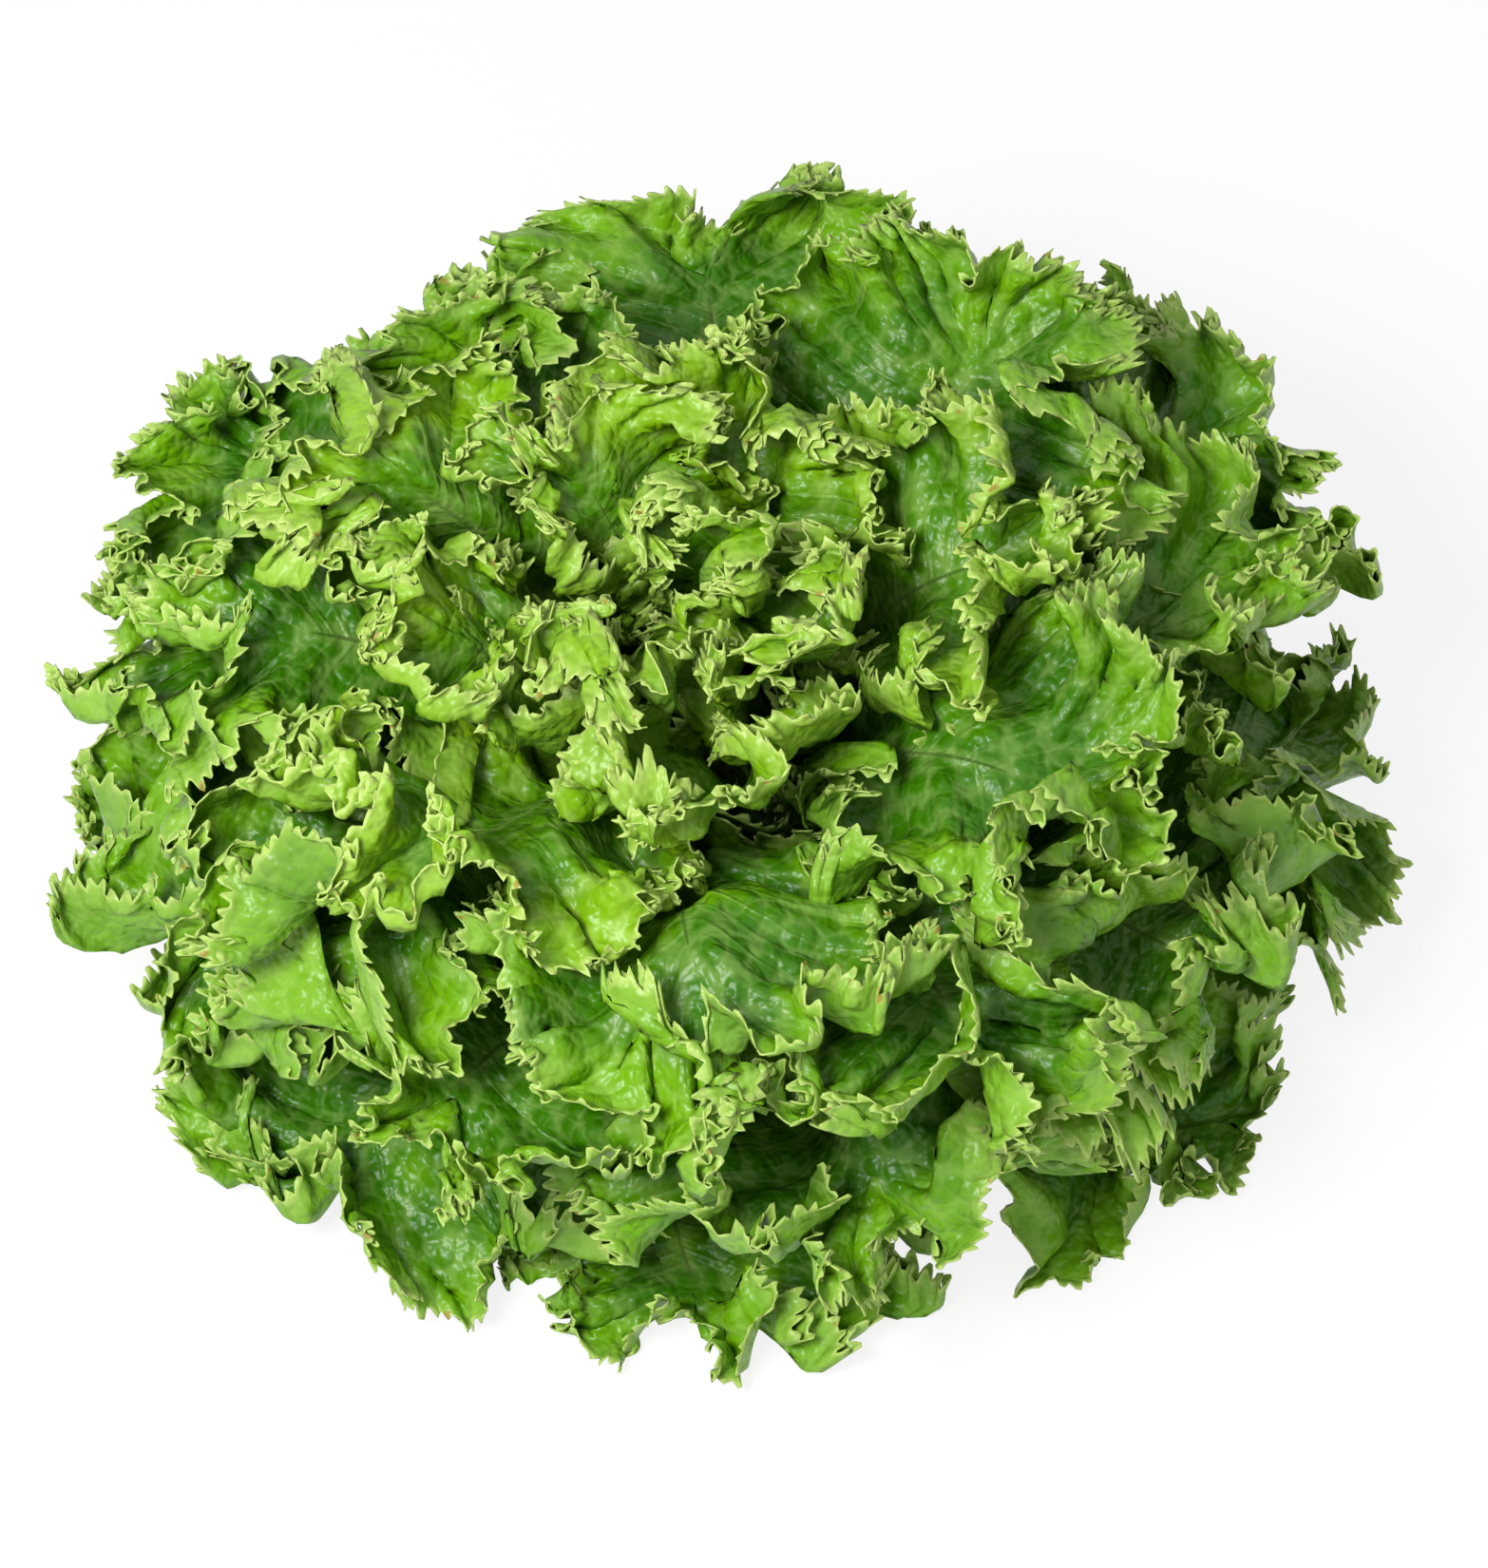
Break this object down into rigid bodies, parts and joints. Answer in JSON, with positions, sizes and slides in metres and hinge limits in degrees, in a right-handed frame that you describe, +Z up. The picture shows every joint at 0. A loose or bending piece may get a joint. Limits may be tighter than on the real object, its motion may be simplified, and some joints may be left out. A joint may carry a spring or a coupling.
{
  "type": "curly leaf lettuce",
  "caption": "Head of green curly leaf lettuce: broad frilled leaves in a loose rosette on a short cut stem, standing on the cut with its outer leaves on the table.",
  "frame": {"origin": "middle of the cut face under the stem, on the surface that the head rests on", "axes": "+Z up along the stem, -Y towards the viewer, +X to the viewer's right"},
  "size_m": [0.3046, 0.276, 0.1504],
  "materials": {
    "stem_flesh": "moist pale cut stem, faintly browned on the cut face",
    "outer_leaf": "satin blistered leaf, deep green with a yellow-green margin",
    "middle_leaf": "satin blistered leaf, mid green with a yellow-green margin",
    "heart_leaf": "satin tender leaf, pale yellow-green"
  },
  "bodies": {
    "root": {"stem": "stem_flesh", "outer_leaf_01": "outer_leaf", "outer_leaf_02": "outer_leaf", "outer_leaf_03": "outer_leaf", "outer_leaf_04": "outer_leaf", "outer_leaf_05": "outer_leaf", "outer_leaf_06": "outer_leaf", "outer_leaf_07": "outer_leaf", "outer_leaf_08": "outer_leaf", "outer_leaf_09": "outer_leaf", "outer_leaf_10": "outer_leaf", "outer_leaf_11": "outer_leaf", "outer_leaf_12": "outer_leaf", "middle_leaf_01": "middle_leaf", "middle_leaf_02": "middle_leaf", "middle_leaf_03": "middle_leaf", "middle_leaf_04": "middle_leaf", "middle_leaf_05": "middle_leaf", "middle_leaf_06": "middle_leaf", "middle_leaf_07": "middle_leaf", "middle_leaf_08": "middle_leaf", "middle_leaf_09": "middle_leaf", "middle_leaf_10": "middle_leaf", "middle_leaf_11": "middle_leaf", "middle_leaf_12": "middle_leaf", "middle_leaf_13": "middle_leaf", "middle_leaf_14": "middle_leaf", "heart_leaf_01": "heart_leaf", "heart_leaf_02": "heart_leaf", "heart_leaf_03": "heart_leaf", "heart_leaf_04": "heart_leaf", "heart_leaf_05": "heart_leaf", "heart_leaf_06": "heart_leaf", "heart_leaf_07": "heart_leaf", "heart_leaf_08": "heart_leaf", "heart_leaf_09": "heart_leaf", "heart_leaf_10": "heart_leaf"}
  },
  "joints": []
}
